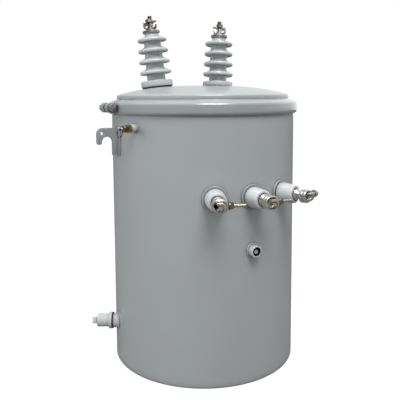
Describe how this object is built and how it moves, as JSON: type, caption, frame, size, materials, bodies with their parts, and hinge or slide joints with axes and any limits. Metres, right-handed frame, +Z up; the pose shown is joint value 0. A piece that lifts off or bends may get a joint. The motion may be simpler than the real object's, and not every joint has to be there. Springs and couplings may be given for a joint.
{
  "type": "pole mounted distribution transformer",
  "caption": "Cylindrical oil-filled distribution transformer with a domed clamped cover, shed porcelain bushings on top, low voltage bushings on the wall and pole support lugs.",
  "frame": {"origin": "centre of the tank's bottom edge, on the floor it stands on", "axes": "+Z up along the tank's axis, -Y out through the middle low voltage bushing, +Y towards the pole"},
  "size_m": [0.6298, 0.6575, 0.9572],
  "materials": {
    "tank_paint": "glossy light grey enamel",
    "grey_porcelain": "glossy grey glaze",
    "white_porcelain": "glossy white glaze",
    "gasket_rubber": "matt black nitrile",
    "tinned_bronze": "bright tin plate",
    "zinc_steel": "zinc plated",
    "brass": "turned brass",
    "ring_steel": "bright wire"
  },
  "bodies": {
    "root": {"clamp_band": "tank_paint", "clamp_bolt": "zinc_steel", "clamp_nut": "zinc_steel", "cover": "tank_paint", "cover_gasket": "gasket_rubber", "drain_boss": "tank_paint", "drain_gasket": "gasket_rubber", "drain_valve": "tank_paint", "ground_boss": "tank_paint", "hv_cap_left": "tinned_bronze", "hv_cap_right": "tinned_bronze", "hv_flange_left": "tank_paint", "hv_flange_right": "tank_paint", "hv_gasket_left": "gasket_rubber", "hv_gasket_right": "gasket_rubber", "hv_keeper_left": "tinned_bronze", "hv_keeper_right": "tinned_bronze", "hv_porcelain_left": "grey_porcelain", "hv_porcelain_right": "grey_porcelain", "hv_terminal_left": "tinned_bronze", "hv_terminal_right": "tinned_bronze", "lifting_hook_left": "tank_paint", "lifting_hook_right": "tank_paint", "lower_support_lug": "tank_paint", "lv_eyebolt_centre": "tinned_bronze", "lv_eyebolt_left": "tinned_bronze", "lv_eyebolt_nut_centre": "tinned_bronze", "lv_eyebolt_nut_left": "tinned_bronze", "lv_eyebolt_nut_right": "tinned_bronze", "lv_eyebolt_right": "tinned_bronze", "lv_gasket_centre": "gasket_rubber", "lv_gasket_left": "gasket_rubber", "lv_gasket_right": "gasket_rubber", "lv_porcelain_centre": "white_porcelain", "lv_porcelain_left": "white_porcelain", "lv_porcelain_right": "white_porcelain", "lv_terminal_centre": "tinned_bronze", "lv_terminal_left": "tinned_bronze", "lv_terminal_right": "tinned_bronze", "relief_boss": "tank_paint", "relief_pull_ring": "ring_steel", "relief_valve": "brass", "tank_bottom": "tank_paint", "tank_wall": "tank_paint", "upper_support_lug": "tank_paint"}
  },
  "joints": []
}
